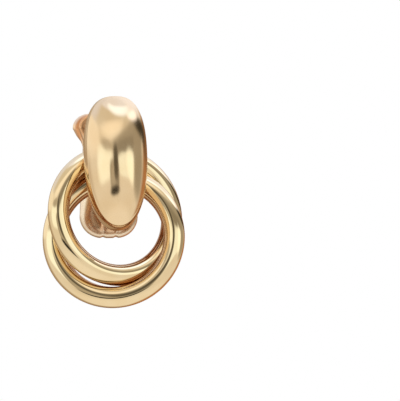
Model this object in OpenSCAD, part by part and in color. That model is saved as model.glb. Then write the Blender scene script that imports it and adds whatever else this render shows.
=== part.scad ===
// Clip-on earring: a hollow oval dome, two linked rings that hang behind it,
// and a sprung clip lever whose pad closes on the ear lobe.
// Millimetres, +Z up, the dome faces -Y. The origin is the middle of the
// lobe seat, on the rear face of the back plate.

/* [Dome] */
// Width of the dome
dome_w = 11.7; // [9:0.1:14]
// Height of the dome
dome_h = 25.9; // [22:0.1:30]
// How far the dome swells in front of its edge
dome_bulge = 4.8; // [3:0.1:7]
// Depth of the straight side wall behind the edge
dome_side = 5.0; // [4:0.1:6.5]
// How far the side wall bellies outwards between its two edges
dome_belly = 0.4; // [0:0.05:0.5]
// Thickness of the dome's sheet
dome_wall = 0.6; // [0.4:0.05:0.9]
// Height of the dome's widest line above its middle
dome_wide_z = 1.5; // [0:0.1:3]
// Height of the dome's middle below the lobe seat
dome_drop = 9.3; // [8.5:0.1:10]

/* [Rings] */
// Outer diameter of each ring
ring_od = 28.1; // [26:0.1:30]
// Thickness of the ring's round tube
ring_tube = 4.2; // [3.6:0.1:4.4]
// Distance from the back plate to the middle of the rings
ring_back = 4.7; // [4.6:0.05:4.8]
// Height of the upper ring's centre above the lower ring's
ring_step = 4.4; // [4.35:0.05:4.9]
// Turn of the lower ring about the vertical, right side forward
lower_turn = 12.5; // [11:0.5:14]
// Turn of the upper ring about the vertical, left side forward
upper_turn = 14.5; // [12:0.5:16]
// Sideways offset of the upper ring where it rests on the lower one
upper_shift = 0.5; // [0:0.1:1]

/* [Back frame] */
// Thickness of the back plate
plate_t = 0.9; // [0.6:0.1:1.4]
// Diameter of the bar that the rings hang on
bar_d = 2.2; // [1.6:0.1:2.6]
// Diameter of the knuckle round the hinge pin
knuckle_d = 2.1; // [1.8:0.1:2.4]
// Width of the knuckle
knuckle_w = 2.6; // [2:0.1:3.2]
// Diameter of the hinge pin
pin_d = 1.0; // [0.8:0.1:1.2]

/* [Clip lever] */
// Distance from the back plate to the front of the lever
lever_front = 9.3; // [9.2:0.1:10]
// Width of the rounded lower end
heel_w = 11.6; // [11:0.1:12.4]
// Radius of the lower end's two corners
heel_corner = 4.4; // [3.5:0.1:5.4]
// Width of the lever's neck, where its lip begins
neck_w = 9.4; // [9:0.1:11]
// How far the lever's front face rounds back towards its edge
crown_depth = 1.0; // [0.4:0.1:1.4]
// Width of that rounding
crown_w = 1.6; // [1:0.1:2]
// Thickness of the lever's sheet
lever_wall = 0.9; // [0.7:0.1:1.2]
// Depth of the rim that turns back round the lower end
heel_rim = 2.8; // [2:0.1:3.6]
// Depth of the flared lip round the upper end
lip_depth = 4.4; // [3.5:0.1:5]
// How far the lip's front edge stands out beyond the neck on each side
lip_swell = 1.1; // [0.4:0.1:1.4]
// How far the lip then flares on each side towards its rear rim
lip_flare = 0.8; // [0.4:0.1:1.2]
// How far it flares at its top
lip_rise = 1.2; // [0.6:0.1:1.5]
// Diameter of the pad that presses on the lobe
pad_d = 5.6; // [4.5:0.1:6.4]
// Free gap for the lobe between the back plate and the pad
lobe_gap = 4.5; // [4.2:0.1:5]

/* [Hidden] */
$fn = 64;

gold = "#dcb684";
gold_deep = "#c89a64";

play = 0.05;                      // gap between pieces that are set together
pin_grip = 0.02;                  // gap round the pin in its knuckle
hang_gap = 0.15;                  // air between the lower ring and its bar
weld = 0.3;                       // overlap of shapes that make one solid

dome_mid = -dome_drop;
dome_top_n = 2.6;                 // roundness of the outline above its widest line
dome_low_n = 2.15;                // and below it
dome_edge = 0.94;                 // share of a full quarter turn that the cap makes
dome_steps = 64;
cap_steps = 12;
side_steps = 5;

ring_major = (ring_od - ring_tube) / 2;
ring_inner = ring_major - ring_tube / 2;
lower_z = dome_mid - 13.3;
upper_z = lower_z + ring_step;

bar_z = lower_z + ring_inner - hang_gap - bar_d / 2;
hinge_y = lever_front - 1.2;
hinge_z = bar_z - 0.8;
bar_end = hinge_y - 0.6;
ear_w = 0.7;
ear_gap = 0.2;                    // side play between knuckle and ears
pin_len = knuckle_w + 2 * (ear_gap + ear_w) + 0.3;  // it stands a little proud of the ears

heel_bottom = dome_mid - 11.85;
heel_z = heel_bottom + heel_corner;  // where the rounded lower end begins
lip_low = -2;                     // where the flare dies into the lever
lip_top = 3.9;                    // top of the lever's front face
lip_corner = 3.1;
groove_x = 1.3;                   // the two grooves between the three flutes
groove_r = 0.35;
groove_low = heel_bottom - 1;
groove_top = hinge_z - knuckle_d; // they stop below the hinge ears
pad_t = 1;
film = 0.1;                       // thin slices that a flare is stretched between

// Outline of the dome at angle t: inset moves it inwards on every side
function power(v, n) = sign(v) * pow(abs(v), 2 / n);
function dome_n(t) = sin(t) > 0 ? dome_top_n : dome_low_n;
function dome_reach(t) = sin(t) > 0 ? dome_h / 2 - dome_wide_z : dome_h / 2 + dome_wide_z;
function dome_x(t, inset) = (dome_w / 2 - inset) * power(cos(t), dome_n(t));
function dome_z(t, inset) = (dome_reach(t) - inset) * power(sin(t), dome_n(t));
function dome_row(y, inset, share) = [
    for (i = [0 : dome_steps - 1])
        let (t = 360 * i / dome_steps)
        [dome_x(t, inset) * share, y, dome_z(t, inset) * share]
];

// Swell of the cap at a share of the way from its middle to its edge
function cap_rise(share) =
    (sqrt(1 - pow(dome_edge * share, 2)) - sqrt(1 - pow(dome_edge, 2)))
    / (1 - sqrt(1 - pow(dome_edge, 2)));
function cap_share(i) = sin(90 * i / cap_steps);

// The cap's rows from its tip outwards, then the side wall's rows to the rear rim
function cap_rows(inset) = [
    for (i = [1 : cap_steps])
        dome_row(
            inset - dome_side - dome_bulge * cap_rise(cap_share(i)),
            inset, cap_share(i))
];
function side_rows(inset) = [
    for (i = [1 : side_steps])
        let (back = i / side_steps)
        dome_row(
            (back - 1) * (dome_side - inset),
            inset - dome_belly * sin(180 * back), 1)
];
function skin(inset) = concat(cap_rows(inset), side_rows(inset));
function backwards(rows) = [for (i = [len(rows) - 1 : -1 : 0]) rows[i]];
function joined(rows) = [for (row = rows) for (p = row) p];

// The shell: rows of the outer skin from the tip to the rear rim, then the inner skin
module front_dome() {
    rows = concat(skin(0), backwards(skin(dome_wall)));
    last = len(rows) - 1;
    front_tip = len(rows) * dome_steps;
    points = concat(
        joined(rows),
        [[0, -dome_side - dome_bulge, 0], [0, dome_wall - dome_side - dome_bulge, 0]]);
    faces = concat(
        [for (r = [0 : last - 1]) for (i = [0 : dome_steps - 1])
            let (j = (i + 1) % dome_steps)
            [r * dome_steps + i, r * dome_steps + j,
             (r + 1) * dome_steps + j, (r + 1) * dome_steps + i]],
        [for (i = [0 : dome_steps - 1])
            [front_tip, (i + 1) % dome_steps, i]],
        [for (i = [0 : dome_steps - 1])
            let (base = last * dome_steps)
            [front_tip + 1, base + i, base + (i + 1) % dome_steps]]);
    color(gold)
        translate([0, 0, dome_mid + dome_wide_z])
            polyhedron(points = points, faces = faces);
}

module dome_outline(inset) {
    polygon([
        for (i = [0 : dome_steps - 1])
            let (t = 360 * i / dome_steps)
            [dome_x(t, inset), dome_z(t, inset)]]);
}

// A flat shape drawn in x and z, given its thickness from front to back
module slab(front, thick) {
    translate([0, front + thick, 0])
        rotate([90, 0, 0])
            linear_extrude(thick) children();
}

// A round bar from left to right, centred on x = 0
module cross_bar(d, width, y, z) {
    translate([-width / 2, y, z])
        rotate([0, 90, 0])
            cylinder(d = d, h = width);
}

module back_frame() {
    color(gold_deep) difference() {
        union() {
            slab(-plate_t, plate_t)
                translate([0, dome_mid + dome_wide_z])
                    dome_outline(dome_wall + play);
            translate([0, 0, bar_z])
                rotate([-90, 0, 0])
                    translate([0, 0, -weld])
                        cylinder(d = bar_d, h = bar_end + weld);
            cross_bar(knuckle_d, knuckle_w, hinge_y, hinge_z);
        }
        cross_bar(pin_d + 2 * pin_grip, knuckle_w + 1, hinge_y, hinge_z);
    }
}

module hinge_pin() {
    color(gold_deep) cross_bar(pin_d, pin_len, hinge_y, hinge_z);
}

module ring(centre_x, centre_z, turn) {
    translate([centre_x, ring_back, centre_z])
        rotate([0, 0, turn])
            rotate([90, 0, 0])
                rotate_extrude()
                    translate([ring_major, 0]) circle(d = ring_tube);
}

module upper_ring() { color(gold) ring(upper_shift, upper_z, upper_turn); }

module lower_ring() { color(gold) ring(0, lower_z, -lower_turn); }

// Front outline of the lever up into its lip, smaller by inset on every side
module lever_outline(inset) {
    corner_x = heel_w / 2 - heel_corner;
    wide = heel_w / 2 - inset;
    top = lip_low + weld;
    neck = neck_w / 2 - inset - film;
    for (x = [-corner_x, corner_x])
        translate([x, heel_z]) circle(r = heel_corner - inset);
    translate([-corner_x, heel_bottom + inset]) square([2 * corner_x, heel_corner]);
    polygon([[-wide, heel_z], [wide, heel_z], [neck, top], [-neck, top]]);
}

// Outline of the upper end, smaller by inset: open is 0 at its front and 1 at its rear rim
module lip_outline(inset, open) {
    half = neck_w / 2 + lip_swell + open * lip_flare - inset;
    top = lip_top + open * lip_rise - inset;
    corner = lip_corner - inset;
    hull() {
        for (side = [-1, 1])
            translate([side * (half - corner), top - corner]) circle(r = corner, $fn = 32);
        translate([-neck_w / 2 + inset, lip_low]) square([neck_w - 2 * inset, film]);
    }
}

// The lower end as a solid with a crowned front, from a front plane to a back plane
module heel(inset, front, back) {
    hull() {
        slab(front, film) lever_outline(inset + crown_w);
        slab(front + crown_depth, back - front - crown_depth) lever_outline(inset);
    }
}

// The flared upper end in the same way
module flare(inset, front, back) {
    hull() {
        slab(front, film) lip_outline(inset + crown_w, 0);
        slab(front + crown_depth, film) lip_outline(inset, 0);
        slab(back - film, film) lip_outline(inset, 1);
    }
}

module clip_lever() {
    heel_back = lever_front + heel_rim;
    lip_back = lever_front + lip_depth;
    ear_x = knuckle_w / 2 + ear_gap;
    color(gold) difference() {
        union() {
            difference() {
                union() {
                    heel(0, lever_front, heel_back);
                    flare(0, lever_front, lip_back);
                }
                heel(lever_wall, lever_front + lever_wall, heel_back + 1);
                flare(lever_wall, lever_front + lever_wall, lip_back + film);
            }
            for (side = [-1, 1]) {
                translate([side * (ear_x + ear_w / 2), 0, 0]) {
                    cross_bar(knuckle_d, ear_w, hinge_y, hinge_z);
                    translate([-ear_w / 2, hinge_y, hinge_z - knuckle_d / 2])
                        cube([ear_w, lever_front + weld - hinge_y, knuckle_d]);
                }
            }
            // pad and its post
            translate([0, lobe_gap, 0]) rotate([-90, 0, 0]) {
                cylinder(d = pad_d, h = pad_t);
                cylinder(d = pad_d / 2, h = lever_front + weld - lobe_gap);
            }
        }
        cross_bar(pin_d + 2 * play, pin_len + 2, hinge_y, hinge_z);
        for (x = [-groove_x, groove_x])
            translate([x, lever_front, groove_low])
                cylinder(r = groove_r, h = groove_top - groove_low);
    }
}

front_dome();
back_frame();
hinge_pin();
upper_ring();
lower_ring();
clip_lever();
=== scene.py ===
# Clip-on earring: a polished dome, two linked tube rings and a stamped clip lever
from math import atan2, cos, exp, hypot, pi, radians, sin, sqrt

import bmesh
import bpy
from mathutils import Matrix, Vector


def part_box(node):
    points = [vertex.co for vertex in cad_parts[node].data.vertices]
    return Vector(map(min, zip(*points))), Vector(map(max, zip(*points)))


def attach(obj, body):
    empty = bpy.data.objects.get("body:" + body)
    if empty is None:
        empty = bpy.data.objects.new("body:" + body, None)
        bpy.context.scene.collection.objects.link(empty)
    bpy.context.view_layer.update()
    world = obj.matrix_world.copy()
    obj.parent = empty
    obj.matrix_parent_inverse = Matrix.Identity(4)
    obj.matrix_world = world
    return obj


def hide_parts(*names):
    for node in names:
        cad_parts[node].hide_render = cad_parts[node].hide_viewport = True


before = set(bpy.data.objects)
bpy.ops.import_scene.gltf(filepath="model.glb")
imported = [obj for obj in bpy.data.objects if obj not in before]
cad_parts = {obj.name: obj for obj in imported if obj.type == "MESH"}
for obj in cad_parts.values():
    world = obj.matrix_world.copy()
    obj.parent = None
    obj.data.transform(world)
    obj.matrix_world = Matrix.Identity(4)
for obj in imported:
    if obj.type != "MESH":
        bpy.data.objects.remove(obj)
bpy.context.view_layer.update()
mm = 0.001
fullTurn = 2 * pi
quarterTurn = pi / 2


def clamped(value, low=0.0, high=1.0):
    return min(max(value, low), high)


def smoothStep(value, low, high):
    k = clamped((value - low) / (high - low))
    return k * k * (3 - 2 * k)


def directionOf(azimuth, elevation):
    # azimuth 0 is straight in front of the dome, and 90 is to the viewer's right
    a = radians(azimuth)
    e = radians(elevation)
    return Vector((sin(a) * cos(e), -cos(a) * cos(e), sin(e)))


# camera: far away with a long lens, a little below the earring and to its left
cameraSettings = {
    "azimuth": -8.5,        # degrees, 0 looks at the dome's front
    "elevation": -12.5,     # below the horizon of the earring
    "roll": 2.2,            # the earring's top leans left in the frame
    "lens": 300.0,          # mm
    "sensor": 36,           # mm
    "frameTall": 78.92,     # mm of the subject plane that fill the frame's long side
    "rightOfSeat": 17.18,   # mm from the lobe seat to the frame's middle
    "belowSeat": 15.76,
    "near": 0.02,           # m, the depths between which the camera sees
    "far": 20,
}


def makeCamera():
    c = cameraSettings
    towards = directionOf(c["azimuth"], c["elevation"])
    turn = radians(c["azimuth"])
    level = Vector((cos(turn), sin(turn), 0))
    rise = towards.cross(level)
    roll = radians(c["roll"])
    across = level * cos(roll) - rise * sin(roll)
    up = rise * cos(roll) + level * sin(roll)
    distance = c["lens"] * c["frameTall"] / c["sensor"] * mm
    data = bpy.data.cameras.new("camera")
    data.lens = c["lens"]
    data.sensor_width = c["sensor"]
    data.clip_start = c["near"]
    data.clip_end = c["far"]
    camera = bpy.data.objects.new("camera", data)
    place = across * c["rightOfSeat"] * mm - up * c["belowSeat"] * mm + towards * distance
    axes = Matrix((across, up, towards)).transposed().to_4x4()
    camera.matrix_world = Matrix.Translation(place) @ axes
    bpy.context.scene.collection.objects.link(camera)
    bpy.context.scene.camera = camera


makeCamera()
print("camera placed")


# node helpers: a value that is another node's output is linked, and any other is set
def feed(tree, value, socket):
    if isinstance(value, bpy.types.NodeSocket):
        tree.links.new(value, socket)
    else:
        socket.default_value = value


def addNode(tree, kind, **values):
    # each name is a setting of the node, or else one of its inputs
    node = tree.nodes.new(kind)
    for name, value in values.items():
        if hasattr(node, name):
            setattr(node, name, value)
        else:
            feed(tree, value, node.inputs[name.replace("_", " ")])
    return node


def mathNode(tree, operation, *values):
    node = addNode(tree, "ShaderNodeMath", operation=operation)
    for value, socket in zip(values, node.inputs):
        feed(tree, value, socket)
    return node.outputs[0]


def mixNode(tree, factor, first, second, blend="MIX"):
    # of the node's many sockets, 6 and 7 are its two colours and 2 is the mixed one
    mix = addNode(tree, "ShaderNodeMix", data_type="RGBA", blend_type=blend, Factor=factor)
    feed(tree, first, mix.inputs[6])
    feed(tree, second, mix.inputs[7])
    return mix.outputs[2]


def rangeNode(tree, source, low, high, **values):
    node = addNode(
        tree, "ShaderNodeMapRange", Value=source, From_Min=low, From_Max=high, **values)
    return node.outputs[0]


def maskNode(tree, source, low, high):
    return rangeNode(tree, source, low, high, interpolation_type="SMOOTHSTEP")


def noiseNode(tree, place, **values):
    return addNode(tree, "ShaderNodeTexNoise", Vector=place, **values).outputs[0]


def stretchNode(tree, place, scale, turn=(0, 0, 0)):
    return addNode(
        tree, "ShaderNodeMapping", Vector=place, Rotation=turn, Scale=scale).outputs[0]


def bumpNode(tree, height, strength, distance, **values):
    return addNode(
        tree, "ShaderNodeBump", Height=height, Strength=strength, Distance=distance,
        **values).outputs[0]


def rampNode(tree, source, low, high):
    # low and high are each a position and a colour
    node = addNode(tree, "ShaderNodeValToRGB", Fac=source)
    for element, (position, colour) in zip(node.color_ramp.elements, (low, high)):
        element.position = position
        element.color = (*colour, 1)
    return node.outputs[0]


# finishes: gold plate over polished brass, each with its own colours, wear and roughness, where
# it is clean and where it is smeared; a tone multiplies the colour, and is full where y, z or
# a mesh attribute has passed from the first value to the second; some tones are painted shade
finishes = {
    "polishedGold": {
        "pale": (0.925, 0.735, 0.500),
        "deep": (0.900, 0.695, 0.450),
        "rough": (0.10, 0.16),
        "scratch": 0.04, "wave": 0.08, "brushing": 0.0,
        "tones": [],
    },
    "ringGold": {
        "pale": (0.925, 0.768, 0.525),
        "deep": (0.895, 0.722, 0.465),
        "rough": (0.03, 0.09),
        "scratch": 0.02, "wave": 0.04, "brushing": 0.0,
        "tones": [
            # painted shade on the side of the tube that faces the ring's middle, where the rings
            # shade each other
            {"colour": (0.48, 0.29, 0.20), "where": [("inward", 0.62, 0.95)]},
        ],
    },
    "leverGold": {
        "pale": (0.965, 0.835, 0.695),
        "deep": (0.940, 0.785, 0.625),
        "rough": (0.26, 0.36),
        "scratch": 0.10, "wave": 0.16, "brushing": 0.05,
        "tones": [
            # the lip's colour is a little deeper, from 4 mm below the seat upward
            {"colour": (0.96, 0.84, 0.72), "where": [("z", -4.0 * mm, 0)]},
            # painted shade in the hollow behind the lip's front edge
            {"colour": (0.72, 0.45, 0.30), "where": [
                ("y", 10.2 * mm, 10.6 * mm), ("y", 12.9 * mm, 12.1 * mm), ("z", -2.5 * mm, 0)]},
            # painted shade on the front, which faces the back of the dome
            {"colour": (0.90, 0.68, 0.52), "where": [("y", 10.2 * mm, 9.5 * mm)]},
        ],
    },
    "satinGold": {
        "pale": (0.770, 0.570, 0.365),
        "deep": (0.670, 0.470, 0.285),
        "rough": (0.20, 0.34),
        "scratch": 0.10, "wave": 0.06, "brushing": 0.16,
        "tones": [],
    },
}

# what the finishes share; the noises' scales and stretches are in waves to the metre
wear = {
    "drift": {"Scale": 210.0, "Detail": 3.0, "Roughness": 0.5},
    "driftDeep": 0.36,          # of the drift, where the deep and the pale colour are reached
    "driftPale": 0.62,
    "smear": {"Scale": 330.0, "Detail": 5.0, "Roughness": 0.62, "Distortion": 0.8},
    "grain": {"Scale": 5200.0, "Detail": 2.0},
    "grainShare": 0.35,
    "roughFrom": 0.45,          # of the smears and grain, between which the polish dulls
    "roughTo": 0.95,
    "hairs": [{"Scale": 1.0, "Detail": 1.0}, {"Scale": 1.4, "Detail": 1.0}],
    "hairTurns": [(0.3, 0.5, 0.9), (1.2, -0.4, 2.3)],
    "hairStretch": (150, 2600, 2600),
    "hairCut": (0.60, 0.72),    # the noise above this is a scratch
    "hairDeep": 0.01 * mm,
    "wave": {"Scale": 260.0, "Detail": 1.0, "Roughness": 0.4},
    "waveDeep": 0.1 * mm,
    "brush": {"Scale": 1.0, "Detail": 2.0},
    "brushStretch": (9000, 9000, 420),
    "brushDeep": 0.02 * mm,
}


def tonedColour(tree, place, colour, tone):
    mask = 1.0
    for name, low, high in tone["where"]:
        if name in ("y", "z"):
            parts = addNode(tree, "ShaderNodeSeparateXYZ", Vector=place)
            source = parts.outputs[name.upper()]
        else:
            source = addNode(tree, "ShaderNodeAttribute", attribute_name=name).outputs["Fac"]
        mask = mathNode(tree, "MULTIPLY", mask, maskNode(tree, source, low, high))
    return mixNode(tree, mask, colour, (*tone["colour"], 1), blend="MULTIPLY")


def goldFinish(name):
    f = finishes[name]
    material = bpy.data.materials.new(name)
    material.use_nodes = True
    tree = material.node_tree
    tree.nodes.clear()
    place = addNode(tree, "ShaderNodeTexCoord").outputs["Object"]

    # the plate's colour drifts softly, a few millimetres at a time
    drift = noiseNode(tree, place, **wear["drift"])
    colour = rampNode(
        tree, drift, (wear["driftDeep"], f["deep"]), (wear["driftPale"], f["pale"]))
    for tone in f["tones"]:
        colour = tonedColour(tree, place, colour, tone)

    # handling: faint smears that dull the polish in patches
    smear = noiseNode(tree, place, **wear["smear"])
    grain = noiseNode(tree, place, **wear["grain"])
    patchy = mathNode(tree, "MULTIPLY_ADD", grain, wear["grainShare"], smear)
    smooth, dull = f["rough"]
    rough = rangeNode(
        tree, patchy, wear["roughFrom"], wear["roughTo"], To_Min=smooth, To_Max=dull)

    # relief: hair scratches in two directions over the slow wave of hand polishing
    heights = []
    for hairs, turn in zip(wear["hairs"], wear["hairTurns"]):
        lie = stretchNode(tree, place, wear["hairStretch"], turn)
        heights.append(rangeNode(tree, noiseNode(tree, lie, **hairs), *wear["hairCut"]))
    scratches = mathNode(tree, "ADD", *heights)
    relief = bumpNode(tree, scratches, f["scratch"], wear["hairDeep"], invert=True)
    wave = noiseNode(tree, place, **wear["wave"])
    relief = bumpNode(tree, wave, f["wave"], wear["waveDeep"], Normal=relief)
    if f["brushing"] > 0:
        lie = stretchNode(tree, place, wear["brushStretch"])
        brush = noiseNode(tree, lie, **wear["brush"])
        relief = bumpNode(tree, brush, f["brushing"], wear["brushDeep"], Normal=relief)

    shader = addNode(
        tree, "ShaderNodeBsdfPrincipled", Metallic=1.0, Base_Color=colour, Roughness=rough,
        Normal=relief)
    addNode(tree, "ShaderNodeOutputMaterial", Surface=shader.outputs[0])
    return material


materials = {name: goldFinish(name) for name in finishes}
print("finishes made:", ", ".join(materials))


# mesh helpers; points nearer to each other than these gaps are welded
spinGap = 0.0001 * mm
joinGap = 0.0005 * mm
pieceGap = 0.002 * mm
tiny = 0.001 * mm
sharpAngle = radians(32)    # edges between joined shapes look sharp beyond this


def newPiece(name, bm, finish):
    bmesh.ops.remove_doubles(bm, verts=bm.verts, dist=pieceGap)
    bmesh.ops.recalc_face_normals(bm, faces=bm.faces)
    mesh = bpy.data.meshes.new(name)
    bm.to_mesh(mesh)
    bm.free()
    for face in mesh.polygons:
        face.use_smooth = True
    mesh.materials.append(materials[finish])
    piece = bpy.data.objects.new(name, mesh)
    bpy.context.scene.collection.objects.link(piece)
    return piece


def settle(piece, body, slot, *nodes):
    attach(piece, body)
    if nodes:
        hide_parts(*nodes)
    print("made", piece.name, "with", len(piece.data.polygons), "faces")


def twoSkins(bm):
    # copies the open skin; returns the points of the copy, the sheet's inner side, and
    # each point's twin
    made = bmesh.ops.duplicate(bm, geom=bm.verts[:] + bm.edges[:] + bm.faces[:])
    inner = {v for v in made["geom"] if isinstance(v, bmesh.types.BMVert)}
    return inner, dict(made["vert_map"])


def closeSkins(bm, inner, twins):
    # joins the two skins along their open edges
    for edge in [e for e in bm.edges if e.is_boundary and e.verts[0] not in inner]:
        first, second = edge.verts
        bm.faces.new((first, second, twins[second], twins[first]))


def chain(bm, points):
    verts = [bm.verts.new(p) for p in points]
    for pair in zip(verts, verts[1:]):
        bm.edges.new(pair)


def spinRound(bm, axis, steps):
    bmesh.ops.spin(
        bm, geom=bm.verts[:] + bm.edges[:], cent=(0, 0, 0), axis=axis, dvec=(0, 0, 0),
        angle=fullTurn, steps=steps, use_merge=True, use_duplicate=False)


def spinAboutY(bm, points, steps):
    # points are (radius, y) of a profile that turns fully round the Y axis
    chain(bm, [(r, y, 0) for r, y in points])
    spinRound(bm, (0, 1, 0), steps)
    bmesh.ops.remove_doubles(bm, verts=bm.verts, dist=spinGap)


def spinAboutX(profile, steps, centre):
    # profile points are (radius, x); centre is (y, z)
    bm = bmesh.new()
    chain(bm, [(x, 0, -r) for r, x in profile])
    spinRound(bm, (1, 0, 0), steps)
    bmesh.ops.translate(bm, verts=bm.verts, vec=(0, *centre))
    return bm


# dome: a swelling front on a side wall that bellies a little, closed behind by the back plate
dome = {
    "topRoundness": 2.6,      # of the outline: 2 is an ellipse
    "lowRoundness": 2.15,
    "roundnessEase": (0.05, 1.025),    # how softly one goes over into the other
    "wideLine": 1.5 * mm,     # height of the widest line above the dome's middle
    "wideLineEase": (0.01, 1.005),
    "sideWall": 5.0 * mm,
    "belly": 0.4 * mm,
    "edgeShare": 0.94,        # how much of a full quarter turn the front makes
    "crease": 0.03,           # share of the half width that the rounded crease takes
    "creaseDeep": 0.35 * mm,  # and how far it reaches down the side wall
    "sheet": 0.6 * mm,
    "edgeSoft": 0.12 * mm,    # rounding of the rear edge
    "around": 224,
    "frontRows": 72,
    "frontSpread": 0.8,       # under 1 draws the rows out from the middle
    "creaseRows": 8,
    "wallRows": 16,
    "edgeRows": 4,
}
domeLow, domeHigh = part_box("front_dome")
domeMiddle = (domeLow + domeHigh) / 2
domeHalf = (domeHigh - domeLow) / 2 - Vector((dome["belly"], 0, dome["belly"]))


def easedSize(value, ease, whole):
    # the size of a value between -1 and 1, without a corner at 0; whole makes it 1 at both ends
    return sqrt(value * value + ease) / whole


def domeOutline(t, share, proud=0.0):
    # the x and z at the angle t: share shrinks the outline and proud widens it
    swell = share * share
    middle = (dome["topRoundness"] + dome["lowRoundness"]) / 2 - 2
    lean = (dome["topRoundness"] - dome["lowRoundness"]) / 2
    upward = sin(t) / easedSize(sin(t), *dome["roundnessEase"])
    power = 2 / (2 + swell * (middle + lean * upward))
    side = abs(cos(t)) ** power * (1 if cos(t) > 0 else -1)
    rise = abs(sin(t)) ** power * (1 if sin(t) > 0 else -1)
    x = (domeHalf.x + proud) * side * share
    z = (domeHalf.z + proud) * rise * share
    z += dome["wideLine"] * swell * (1 - easedSize(rise, *dome["wideLineEase"]))
    return x, domeMiddle.z + z


def domeRise(share):
    edge = sqrt(1 - dome["edgeShare"] ** 2)
    return (sqrt(1 - (dome["edgeShare"] * share) ** 2) - edge) / (1 - edge)


def domeProfile():
    # a radius up to 1 is a share of the outline, and beyond 1 a share of the side wall's depth
    wall = dome["sideWall"]
    bulge = domeHigh.y - domeLow.y - wall
    wallFront = domeLow.y + bulge
    points = []
    for i in range(dome["frontRows"] + 1):
        spread = sin(quarterTurn * i / dome["frontRows"]) ** dome["frontSpread"]
        share = (1 - dome["crease"]) * spread
        points.append((share, wallFront - bulge * domeRise(share)))

    # the crease bends from the front's last point, by way of the corner, to the side wall
    startShare, startY = points[-1]
    startDepth = dome["creaseDeep"] / wall
    for i in range(1, dome["creaseRows"] + 1):
        k = i / dome["creaseRows"]
        first, middle, last = (1 - k) ** 2, 2 * k * (1 - k), k * k
        r = startShare * first + middle + (1 + startDepth) * last
        y = startY * first + wallFront * middle + (wallFront + dome["creaseDeep"]) * last
        points.append((r, y))

    soft = dome["edgeSoft"] / wall
    rows = dome["wallRows"]
    straight = 1 - soft - startDepth
    depths = [startDepth + straight * i / rows for i in range(1, rows + 1)]
    rows = dome["edgeRows"]
    depths += [1 - soft * (1 - sin(quarterTurn * i / rows)) for i in range(1, rows + 1)]
    return points + [(1 + depth, wallFront + wall * depth) for depth in depths]


def makeDome():
    bm = bmesh.new()
    spinAboutY(bm, domeProfile(), dome["around"])
    inner, twins = twoSkins(bm)
    soft = dome["edgeSoft"]
    for v in bm.verts:
        radius = hypot(v.co.x, v.co.z)
        share = min(radius, 1.0)
        down = clamped(radius - 1)
        near = clamped(soft - (1 - down) * dome["sideWall"], 0.0, soft)
        inset = soft - sqrt(soft * soft - near * near)
        proud = dome["belly"] * sin(pi * down) - inset
        if v in inner:
            proud += 2 * inset - dome["sheet"]
            v.co.y += dome["sheet"] * (1 - share * share)
        v.co.x, v.co.z = domeOutline(atan2(v.co.z, v.co.x), share, proud)
    closeSkins(bm, inner, twins)
    settle(newPiece("domeShell", bm, "polishedGold"), "root", "polished_gold", "front_dome")


makeDome()


# linked rings: round tube, the same size, each turned a little about the vertical
rings = {
    "tube": 4.2 * mm,
    "around": 288,
    "tubeSides": 72,
    "turns": {"upper_ring": 14.5, "lower_ring": -12.5},
    "names": {"upper_ring": "ringUpper", "lower_ring": "ringLower"},
}


def makeRing(node):
    low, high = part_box(node)
    tubeRadius = rings["tube"] / 2
    middleRadius = (high.z - low.z - rings["tube"]) / 2
    bm = bmesh.new()
    circle = bmesh.ops.create_circle(bm, segments=rings["tubeSides"], radius=tubeRadius)
    bmesh.ops.translate(bm, verts=circle["verts"], vec=(middleRadius, 0, 0))
    spinRound(bm, (0, 1, 0), rings["around"])
    inward = bm.verts.layers.float.new("inward")
    # how far a point lies towards the ring's middle; it masks the painted shade on the tube's inner
    # side
    for v in bm.verts:
        v[inward] = (middleRadius - hypot(v.co.x, v.co.z)) / tubeRadius
    turn = Matrix.Rotation(radians(rings["turns"][node]), 3, "Z")
    bmesh.ops.rotate(bm, verts=bm.verts, cent=(0, 0, 0), matrix=turn)
    bmesh.ops.translate(bm, verts=bm.verts, vec=(low + high) / 2)
    piece = newPiece(rings["names"][node], bm, "ringGold")
    settle(piece, "drop", "ring_gold", node)


for ringNode in rings["turns"]:
    makeRing(ringNode)


# back frame: the dome's back plate, the bar that the rings hang on and the hinge knuckle
backFrame = {
    "plate": 0.9 * mm,
    "plateInset": 0.65 * mm,    # inside the dome's outline
    "plateEdge": 0.14 * mm,
    "plateShares": (0, 0.3, 0.6, 0.9, 1.0),
    "plateEdgeFrom": 0.95,      # share of the outline past which a face is rounded off
    "plateAround": 128,
    "bar": 1.1 * mm,            # radii
    "barRoot": 1.9 * mm,
    "knuckle": 1.05 * mm,
    "bore": 0.52 * mm,
    "barHeight": -14.0 * mm,
    "barBuried": 0.4 * mm,      # in the plate
    "barFillet": 0.9 * mm,      # the solder between its root and its straight part
    "filletFrom": 0.02 * mm,
    "filletRows": 8,
    "barEnd": 7.5 * mm,
    "barEndSoft": 0.15 * mm,
    "knuckleWide": 2.6 * mm,
    "knuckleSoft": 0.1 * mm,
    "hinge": (8.1 * mm, -14.8 * mm),    # y and z
    "around": 48,
}


def domePlate(bm):
    # rings of the dome's outline, from the middle of the front to the middle of the back
    edge = backFrame["plateEdge"]
    thick = backFrame["plate"]
    shares = backFrame["plateShares"]
    profile = [(share, -thick) for share in shares]
    profile += [(1.0, -thick + edge), (1.0, -edge)]
    profile += [(share, 0) for share in reversed(shares)]
    spinAboutY(bm, profile, backFrame["plateAround"])
    for v in bm.verts:
        share = hypot(v.co.x, v.co.z)
        onFace = min(abs(v.co.y), abs(v.co.y + thick)) < tiny
        rounded = onFace and share > backFrame["plateEdgeFrom"]
        proud = -backFrame["plateInset"] - (edge if rounded else 0)
        v.co.x, v.co.z = domeOutline(atan2(v.co.z, v.co.x), share, proud)


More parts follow.
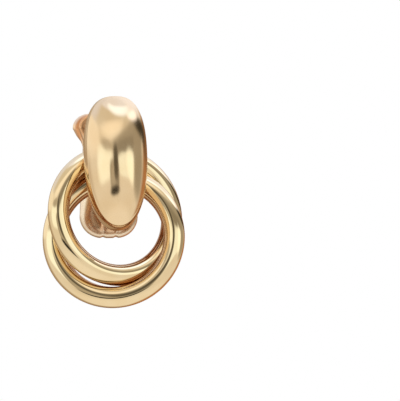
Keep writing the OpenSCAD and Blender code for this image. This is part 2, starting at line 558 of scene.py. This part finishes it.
def barProfile():
    f = backFrame
    profile = [(0, -f["barBuried"]), (f["barRoot"], -f["barBuried"])]
    for i in range(f["filletRows"] + 1):
        a = quarterTurn * i / f["filletRows"]
        spread = (f["barRoot"] - f["bar"]) * (1 - sin(a))
        profile.append((f["bar"] + spread, f["filletFrom"] + f["barFillet"] * (1 - cos(a))))
    soft, end = f["barEndSoft"], f["barEnd"]
    return profile + [(f["bar"], end - soft), (f["bar"] - soft, end), (0, end)]


def knuckleProfile():
    outer, bore, soft = (backFrame[name] for name in ("knuckle", "bore", "knuckleSoft"))
    half = backFrame["knuckleWide"] / 2
    profile = [(outer - soft, -half), (outer, -half + soft), (outer, half - soft)]
    profile += [(outer - soft, half), (bore, half), (bore, -half)]
    return profile + profile[:1]


def fuse(piece, tools):
    # joins closed shapes into one skin, as solder does
    for tool in tools:
        join = piece.modifiers.new("join", "BOOLEAN")
        join.operation = "UNION"
        join.solver = "EXACT"
        join.object = tool
    evaluated = piece.evaluated_get(bpy.context.evaluated_depsgraph_get())
    joined = bpy.data.meshes.new_from_object(evaluated)
    piece.modifiers.clear()
    bm = bmesh.new()
    bm.from_mesh(joined)
    bmesh.ops.remove_doubles(bm, verts=bm.verts, dist=joinGap)
    bmesh.ops.dissolve_degenerate(bm, edges=bm.edges, dist=joinGap)
    manySided = [f for f in bm.faces if len(f.verts) > 4]
    bmesh.ops.triangulate(bm, faces=manySided, ngon_method="BEAUTY")
    bm.to_mesh(joined)
    bm.free()
    joined.name = piece.name
    piece.data = joined
    for tool in tools:
        bpy.data.objects.remove(tool)
    joined.set_sharp_from_angle(angle=sharpAngle)


def makeBackFrame():
    bm = bmesh.new()
    domePlate(bm)
    plate = newPiece("backPlate", bm, "satinGold")
    bm = bmesh.new()
    spinAboutY(bm, barProfile(), backFrame["around"])
    bmesh.ops.translate(bm, verts=bm.verts, vec=(0, 0, backFrame["barHeight"]))
    bar = newPiece("bar", bm, "satinGold")
    bm = spinAboutX(knuckleProfile(), backFrame["around"], backFrame["hinge"])
    knuckle = newPiece("knuckle", bm, "satinGold")
    fuse(plate, [bar, knuckle])
    settle(plate, "root", "satin_gold", "back_frame")


makeBackFrame()


# hinge pin: a peened wire through the knuckle and the lever's ears
pin = {"radius": 0.5 * mm, "length": 4.7 * mm, "head": 0.14 * mm, "headRows": 6, "around": 32}


def makePin():
    half = pin["length"] / 2
    profile = []
    for i in range(pin["headRows"] + 1):
        a = quarterTurn * i / pin["headRows"]
        profile.append((pin["radius"] * sin(a), -half + pin["head"] * (1 - cos(a))))
    profile += [(r, -x) for r, x in reversed(profile)]
    bm = spinAboutX(profile, pin["around"], backFrame["hinge"])
    settle(newPiece("hingePin", bm, "satinGold"), "root", "satin_gold", "hinge_pin")


makePin()


# clip lever: a stamped sheet with a crowned front, a turned rim and a flared, rolled upper lip
lever = {
    "front": 9.3 * mm,
    "crownDepth": (1.6 * mm, 1.1 * mm),    # how far the front rounds back at the heel and the lip
    "crownWide": 2.8 * mm,       # over this width
    "lipSquareness": 2,          # added to the crown's roundness at the lip
    "frontBow": 0.7 * mm,        # how far the front's sides bow back besides
    "heelHalf": 5.8 * mm,
    "heelBottom": -21.15 * mm,
    "heelCorner": 4.4 * mm,
    "neckHalf": 4.7 * mm,        # at the height where the lip begins
    "neckHeight": -2.0 * mm,
    "lipHalf": 5.8 * mm,
    "lipTop": 3.9 * mm,
    "lipCorner": 3.1 * mm,
    "widthEase": 1.0 * mm,       # the neck goes on widening this far into the lip's corners
    "flareFrom": -2.6 * mm,      # heights between which the rim becomes the lip
    "flareTo": 1.0 * mm,
    "heelRim": 2.8 * mm,         # depths of the rim and the lip
    "lipDepth": 4.15 * mm,
    "lipFlare": (0.95 * mm, 1.62 * mm),    # at its sides and at its top
    "lipOpens": (0.25, 1.15),    # shares of its depth between which it opens
    "cove": 1.0 * mm,            # how far the hollow behind the front edge cuts in
    "coveShare": 0.62,           # of the lip's depth
    "coveCurve": 1.2,
    "sheet": 0.75 * mm,
    "edgeSoft": 0.25 * mm,       # rounding of the sheet's cut edge
    "flute": 1.3 * mm,           # the two grooves between three flutes
    "fluteWide": 0.38 * mm,
    "fluteDepth": 0.22 * mm,
    "fluteTop": -16.9 * mm,
    "fluteFade": 0.9 * mm,
    "heelSegments": 18,
    "lipSegments": 14,
    "crownRows": 12,
    "rimRows": 14,
    "edgeRows": 4,
    # lines across the front, in mm from its middle, and up it: the lowest, their step and number
    "gridAcross": (
        0, 0.35, 0.65, 0.85, 1.0, 1.1, 1.2, 1.3, 1.4, 1.48, 1.6, 1.75, 1.95, 2.3, 2.8, 3.4),
    "gridUp": ((-19.4, 0.3, 10), (-14.5, 1.2, 14)),
}
leverLow = lever["heelBottom"] + lever["heelCorner"]    # heights that the corners are swung round
leverHigh = lever["lipTop"] - lever["lipCorner"]


def leverHalf(z):
    # half width of the outline above the lower corners and below the upper ones
    neck, neckHalf = lever["neckHeight"], lever["neckHalf"]
    if z < neck:
        k = clamped((z - leverLow) / (neck - leverLow))
        return lever["heelHalf"] + (neckHalf - lever["heelHalf"]) * k
    k = smoothStep(z, neck, leverHigh + lever["widthEase"])
    return neckHalf + (lever["lipHalf"] - neckHalf) * k


def leverSpine(x, z):
    # the nearest point of the line that the outline's corners are swung round
    level = clamped(z, leverLow, leverHigh)
    grown = (lever["lipCorner"] - lever["heelCorner"]) * (level - leverLow) / (leverHigh - leverLow)
    half = leverHalf(level) - (lever["heelCorner"] + grown)
    return Vector((clamped(x, -half, half), 0, level))


def leverPlace(base, out, row, inner):
    # where a point of the flat front goes in a later row of the sheet's outer or inner skin
    lip = smoothStep(base.z, lever["flareFrom"], lever["flareTo"])
    heelCrown, lipCrown = lever["crownDepth"]
    crown = heelCrown + (lipCrown - heelCrown) * lip
    sheet = lever["sheet"] if inner else 0.0

    def bow(x):
        return lever["frontBow"] * (1 - lip) * (x / lever["heelHalf"]) ** 2

    if row <= lever["crownRows"]:
        a = quarterTurn * row / lever["crownRows"]
        power = 1 / (1 + lever["lipSquareness"] * lip)
        depth = sheet + (crown - sheet) * (1 - max(cos(a), 0) ** power)
        place = base + out * ((lever["crownWide"] - sheet) * sin(a) ** power)
        return place + Vector((0, depth + bow(place.x), 0))
    full = lever["heelRim"] + (lever["lipDepth"] - lever["heelRim"]) * lip
    soft = lever["edgeSoft"]
    down = min((row - lever["crownRows"]) / lever["rimRows"], 1)
    edgeRow = max(row - lever["crownRows"] - lever["rimRows"], 0)
    turn = quarterTurn * edgeRow / lever["edgeRows"]
    depth = crown + (full - soft - crown) * down + soft * sin(turn)
    k = (depth - crown) / (full - crown)
    hollow = sin(pi * min(k / lever["coveShare"], 1.0)) ** lever["coveCurve"]
    hollow *= lip * lever["cove"]
    inset = soft * (1 - cos(turn)) * (-1 if inner else 1)
    opened = lip * smoothStep(k, *lever["lipOpens"]) / smoothStep(1, *lever["lipOpens"])
    side, top = lever["lipFlare"]
    upward = smoothStep(base.z, lever["flareFrom"], lever["lipTop"])
    spread = Vector((out.x * side, 0, top * upward))
    place = base + out * (lever["crownWide"] - sheet - hollow - inset)
    return place + spread * opened + Vector((0, depth + bow(place.x) * (1 - k), 0))


def pressFlutes(v, out, row):
    side = (abs(v.co.x) - lever["flute"]) / lever["fluteWide"]
    fade = 1 - smoothStep(v.co.z, lever["fluteTop"] - lever["fluteFade"], lever["fluteTop"])
    press = lever["fluteDepth"] * exp(-side * side) * fade
    turned = smoothStep(1 - cos(quarterTurn * min(row / lever["crownRows"], 1)), 0, 1)
    v.co += Vector((0, press * (1 - turned), 0)) - out * press * turned


def cutAt(bm, place, normal):
    bmesh.ops.bisect_plane(
        bm, geom=bm.verts[:] + bm.edges[:] + bm.faces[:], dist=tiny,
        plane_co=place, plane_no=normal)


def cutGrid(bm):
    # lines across the front, close together where the flutes are pressed in
    for x in sorted({side * x for x in lever["gridAcross"] for side in (-1, 1)}):
        cutAt(bm, (x * mm, 0, 0), (1, 0, 0))
    for lowest, step, count in lever["gridUp"]:
        for i in range(count):
            cutAt(bm, (0, 0, (lowest + step * i) * mm), (0, 0, 1))


def leverBlank():
    # the flat of the front starts as a straight blank; its waist is drawn in afterwards
    wide = lever["crownWide"]
    half = lever["heelHalf"] - wide
    low = lever["heelBottom"] + wide
    high = lever["lipTop"] - wide
    corners = ((-half, low), (half, low), (half, high), (-half, high))
    bm = bmesh.new()
    verts = [bm.verts.new((x, lever["front"], z)) for x, z in corners]
    bm.faces.new(verts)
    for pair, end in ((verts[:2], "heel"), (verts[2:], "lip")):
        bmesh.ops.bevel(
            bm, geom=pair, offset=lever[end + "Corner"] - wide, offset_type="OFFSET",
            segments=lever[end + "Segments"], profile=0.5, affect="VERTICES", material=-1)
    cutGrid(bm)
    for v in bm.verts:
        narrowed = (leverHalf(v.co.z) - lever["heelHalf"]) / half
        v.co.x *= 1 + narrowed * smoothStep(abs(v.co.x), 0, half)
    cutGrid(bm)
    return bm


def leverSheet():
    # the blank grows row by row; each point keeps its place on the front, its way out and its row
    bm = leverBlank()
    baseLayer = bm.verts.layers.float_vector.new("base")
    outLayer = bm.verts.layers.float_vector.new("out")
    rowLayer = bm.verts.layers.int.new("row")
    for v in bm.verts:
        v[baseLayer] = v.co
        way = v.co - leverSpine(v.co.x, v.co.z)
        way.y = 0
        v[outLayer] = way.normalized() if way.length > spinGap else Vector()
    edges = [e for e in bm.edges if e.is_boundary]
    for row in range(1, lever["crownRows"] + lever["rimRows"] + lever["edgeRows"] + 1):
        grown = bmesh.ops.extrude_edge_only(bm, edges=edges)["geom"]
        for v in grown:
            if isinstance(v, bmesh.types.BMVert):
                v[rowLayer] = row
        edges = [e for e in grown if isinstance(e, bmesh.types.BMEdge) and e.is_boundary]

    # the inner skin has the same rows, and the two meet in the sheet's cut edge
    inner, twins = twoSkins(bm)
    for v in bm.verts:
        base, out, row = Vector(v[baseLayer]), Vector(v[outLayer]), v[rowLayer]
        v.co = leverPlace(base, out, row, v in inner)
        pressFlutes(v, out, row)
    closeSkins(bm, inner, twins)
    for layers in (bm.verts.layers.float_vector, bm.verts.layers.int):
        for name in layers.keys():
            layers.remove(layers[name])
    return bm


# the lever's two hinge ears, one on each side of the knuckle
ear = {
    "thick": 0.7 * mm,
    "inside": 1.5 * mm,         # from the middle of the hinge
    "clearance": 0.03 * mm,     # added to the knuckle's bore
    "intoSheet": 0.3 * mm,
    "outerFrom": 0.9,           # share of the outer radius past which a point is on the outside
    "around": 48,
    "edgeSoft": 0.07 * mm,
    "edgeAngle": 1.2,           # radians; sharper edges are softened
}


def leverEar(side):
    # a flat ring round the pin whose rear half is drawn out square to reach the sheet
    y, z = backFrame["hinge"]
    outer = backFrame["knuckle"]
    reach = lever["front"] + ear["intoSheet"] - y
    bm = bmesh.new()
    chain(bm, [(0, 0, -backFrame["bore"] - ear["clearance"]), (0, 0, -outer)])
    spinRound(bm, (1, 0, 0), ear["around"])
    for v in bm.verts:
        if v.co.y > tiny and hypot(v.co.y, v.co.z) > outer * ear["outerFrom"]:
            way = v.co.normalized()
            v.co = way * min(reach / way.y, outer / max(abs(way.z), tiny))
    whole = bmesh.ops.extrude_face_region(bm, geom=bm.faces[:])
    moved = [v for v in whole["geom"] if isinstance(v, bmesh.types.BMVert)]
    bmesh.ops.translate(bm, verts=moved, vec=(side * ear["thick"], 0, 0))
    bmesh.ops.translate(bm, verts=bm.verts, vec=(side * ear["inside"], y, z))
    rims = [e for e in bm.edges
            if len(e.link_faces) == 2 and e.calc_face_angle(0) > ear["edgeAngle"]]
    bmesh.ops.bevel(
        bm, geom=rims, offset=ear["edgeSoft"], offset_type="OFFSET", segments=2, profile=0.5,
        affect="EDGES", material=-1, clamp_overlap=True)
    return newPiece("ear", bm, "leverGold")


# the round pad that presses on the lobe, its post and the solder round the post's foot:
# radius and y in mm
pad = {
    "profile": [
        (0, 4.56), (1.2, 4.53), (2.2, 4.5), (2.5, 4.53), (2.7, 4.64), (2.79, 4.82),
        (2.8, 5.05), (2.76, 5.24), (2.64, 5.4), (2.42, 5.49), (2.1, 5.52), (1.85, 5.58),
        (1.6, 5.74), (1.45, 6.0), (1.4, 6.35), (1.4, 8.4), (1.44, 8.75), (1.56, 9.02),
        (1.78, 9.22), (2.1, 9.32), (2.1, 9.6), (0, 9.6)],
    "around": 72,
}


def leverPad():
    bm = bmesh.new()
    spinAboutY(bm, [(r * mm, y * mm) for r, y in pad["profile"]], pad["around"])
    return newPiece("pad", bm, "leverGold")


def makeLever():
    piece = newPiece("leverPlate", leverSheet(), "leverGold")
    fuse(piece, [leverEar(-1), leverEar(1), leverPad()])
    settle(piece, "lever", "lever_gold", "clip_lever")


makeLever()


# studio: a pale floor well below, a white tent with a darker gap at the camera, soft boxes
studio = {
    "floorDrop": 0.34,
    "floorRadius": 0.68,
    "floorSegments": 96,
    "floorTone": 0.86,
    "floorRough": 0.9,
    "wallTone": 0.84,
    "background": 1.0,
    "white": (0.98, 0.925, 0.815),    # of the tent as the polish shows it
    "warming": (0, 0.07, 0.19),       # taken from it where the tent is dark
    "rearFrom": 100,                  # degrees; areas past this can reach over the seam behind
    "boxDistance": 0.8,
    "boxAim": -0.017,                 # the height that the soft boxes are set out from
}


def makeFloor():
    bm = bmesh.new()
    bmesh.ops.create_circle(
        bm, cap_ends=True, segments=studio["floorSegments"], radius=studio["floorRadius"])
    bmesh.ops.translate(bm, verts=bm.verts, vec=(0, 0, -studio["floorDrop"]))
    mesh = bpy.data.meshes.new("floor")
    bm.to_mesh(mesh)
    bm.free()
    material = bpy.data.materials.new("paleFloor")
    material.use_nodes = True
    shader = material.node_tree.nodes["Principled BSDF"]
    shader.inputs["Base Color"].default_value = (studio["floorTone"],) * 3 + (1,)
    shader.inputs["Roughness"].default_value = studio["floorRough"]
    mesh.materials.append(material)
    floor = bpy.data.objects.new("floor", mesh)
    bpy.context.scene.collection.objects.link(floor)
    floor.visible_glossy = False    # the polish shows the white tent, not the disc's edge


# areas of the white tent as the polish sees them, laid one over another, in degrees:
# middle azimuth and elevation, half sizes, tilt, squareness (2 is an ellipse), softness, tone, tint
tentAreas = [
    {"name": "ceiling", "at": (0, 100), "half": (500, 39), "soft": 0.13,
     "tone": 1.0, "tint": "cool"},
    {"name": "upperWall", "at": (-15, 50), "half": (125, 13), "square": 3, "soft": 0.4,
     "tone": 0.75},
    {"name": "topGlow", "at": (22, 65), "half": (58, 7), "tilt": -9, "soft": 0.95,
     "tone": 1.5, "tint": "white"},
    {"name": "rightHaze", "at": (130, 50), "half": (46, 20), "soft": 0.5,
     "tone": 1.15, "tint": "cool"},
    {"name": "floorGlow", "at": (0, -80), "half": (500, 38), "soft": 0.35, "tone": 0.93},
    {"name": "rearWall", "at": (176, -10), "half": (58, 38), "soft": 0.35,
     "tone": 0.38, "tint": "warm"},
    {"name": "leftHaze", "at": (228, 50), "half": (34, 20), "soft": 0.6,
     "tone": 0.9, "tint": "cool"},
    {"name": "leftPanel", "at": (-113, 23), "half": (33, 9), "square": 4, "soft": 0.3,
     "tone": 1.02},
    {"name": "room", "at": (46, 24), "half": (58, 12), "tilt": 5, "square": 3, "soft": 0.4,
     "tone": 0.42},
    {"name": "roomDeep", "at": (34, 20), "half": (42, 6), "soft": 0.8, "tone": 0.30},
    {"name": "softSpot", "at": (-20, 38), "half": (36, 7), "tilt": 8, "soft": 0.8,
     "tone": 1.12},
    {"name": "leftWindow", "at": (-55, 6), "half": (30, 12), "square": 3, "soft": 0.3,
     "tone": 1.28, "tint": "day"},
    {"name": "rightWindow", "at": (35, 5), "half": (34, 10), "square": 4, "soft": 0.2,
     "tone": 1.2, "tint": "day"},
    {"name": "rightWindowEnd", "at": (54, 5), "half": (17, 9), "tilt": -20, "soft": 0.6,
     "tone": 1.42, "tint": "day"},
    {"name": "doorway", "at": (90, 10), "half": (19, 19), "square": 3, "soft": 0.4,
     "tone": 0.40},
    {"name": "rearRoom", "at": (152, -6), "half": (31, 25), "square": 3, "soft": 0.3,
     "tone": 0.17, "tint": "amber"},
    {"name": "table", "at": (143, -12), "half": (24, 34), "soft": 0.5,
     "tone": 0.36, "tint": "amber"},
    {"name": "doorEdge", "at": (112, 24), "half": (28, 5), "tilt": -18, "soft": 0.6,
     "tone": 0.05},
    {"name": "lamp", "at": (84, 42), "half": (22, 5), "tilt": -14, "soft": 0.7,
     "tone": 1.6, "tint": "cool"},
    {"name": "camera", "at": (-18, -8), "half": (19, 17), "square": 4, "soft": 0.2,
     "tone": 0.34},
    {"name": "roomLeft", "at": (-45, 21), "half": (20, 4), "soft": 0.6, "tone": 0.52},
    {"name": "cameraLens", "at": (-23, -6), "half": (11, 12), "soft": 0.6, "tone": 0.50},
    {"name": "cameraStand", "at": (-11, 7), "half": (8, 14), "square": 3, "soft": 0.4,
     "tone": 0.12},
    {"name": "cameraFoot", "at": (-19, -20), "half": (20, 4.5), "soft": 0.5, "tone": 0.03},
]
tints = {
    "plain": (1, 1, 1), "cool": (0.93, 1.01, 1.30), "day": (0.90, 1.0, 1.04),
    "white": (0.86, 1.04, 1.40), "warm": (1.12, 0.92, 0.74), "amber": (1.36, 0.72, 0.38),
}


def toneColour(tone, tint="plain"):
    # what is darker in a gold jewel's surroundings is also warmer
    dim = max(1 - tone, 0)
    plain = [tone * (w - d * dim) for w, d in zip(studio["white"], studio["warming"])]
    return (*(c * k for c, k in zip(plain, tints[tint])), 1)


def areaMask(tree, azimuth, elevation, area):
    # 1 inside the area and 0 outside it
    tilt = radians(area.get("tilt", 0))
    square = area.get("square", 2)
    across = mathNode(tree, "SUBTRACT", azimuth, area["at"][0])
    if area["at"][0] > studio["rearFrom"]:
        across = mathNode(tree, "WRAP", across, 180, -180)
    along = mathNode(tree, "SUBTRACT", elevation, area["at"][1])
    reach = []
    for half, ways in zip(area["half"], ((cos(tilt), sin(tilt)), (-sin(tilt), cos(tilt)))):
        turned = mathNode(tree, "MULTIPLY", across, ways[0] / half)
        sheared = mathNode(tree, "MULTIPLY", along, ways[1] / half)
        size = mathNode(tree, "ABSOLUTE", mathNode(tree, "ADD", turned, sheared))
        reach.append(mathNode(tree, "POWER", size, square))
    outside, inside = ((1 + sign * area["soft"]) ** square for sign in (1, -1))
    return maskNode(tree, mathNode(tree, "ADD", *reach), outside, inside)


def makeTent():
    world = bpy.data.worlds.new("tent")
    bpy.context.scene.world = world
    world.use_nodes = True
    tree = world.node_tree
    tree.nodes.clear()
    direction = addNode(tree, "ShaderNodeTexCoord").outputs["Generated"]
    x, y, z = addNode(tree, "ShaderNodeSeparateXYZ", Vector=direction).outputs
    forward = mathNode(tree, "MULTIPLY", y, -1)
    azimuth = mathNode(tree, "DEGREES", mathNode(tree, "ARCTAN2", x, forward))
    elevation = mathNode(tree, "DEGREES", mathNode(tree, "ARCSINE", z))
    colour = toneColour(studio["wallTone"])
    for area in tentAreas:
        areaColour = toneColour(area["tone"], area.get("tint", "plain"))
        mask = areaMask(tree, azimuth, elevation, area)
        colour = mixNode(tree, mask, colour, areaColour)
    glow = addNode(tree, "ShaderNodeBackground", Color=colour)
    plain = addNode(
        tree, "ShaderNodeBackground", Color=(1, 1, 1, 1), Strength=studio["background"])
    mix = addNode(tree, "ShaderNodeMixShader")
    seen = addNode(tree, "ShaderNodeLightPath").outputs["Is Camera Ray"]
    for value, socket in zip((seen, glow.outputs[0], plain.outputs[0]), mix.inputs):
        feed(tree, value, socket)
    addNode(tree, "ShaderNodeOutputWorld", Surface=mix.outputs[0])


# soft boxes light the floor; the polish shows the tent's areas in their stead
softBoxes = [
    {"name": "topBox", "azimuth": -8, "elevation": 71, "wide": 0.42, "tall": 0.24, "tone": 2.6},
    {"name": "windowBox", "azimuth": 62, "elevation": 47, "wide": 0.10, "tall": 0.16, "tone": 3.2},
]


def makeSoftBox(box):
    data = bpy.data.lights.new(box["name"], "AREA")
    data.shape = "ELLIPSE"
    data.size = box["wide"]
    data.size_y = box["tall"]
    area = pi / 4 * box["wide"] * box["tall"]
    data.energy = box["tone"] * area * pi    # watts that give this tone seen head on
    light = bpy.data.objects.new(box["name"], data)
    light.visible_glossy = False
    way = directionOf(box["azimuth"], box["elevation"])
    light.location = way * studio["boxDistance"] + Vector((0, 0, studio["boxAim"]))
    light.rotation_euler = way.to_track_quat("Z", "Y").to_euler()
    bpy.context.scene.collection.objects.link(light)


makeFloor()
makeTent()
for box in softBoxes:
    makeSoftBox(box)
bpy.context.scene.view_settings.view_transform = "Standard"
print("studio ready")
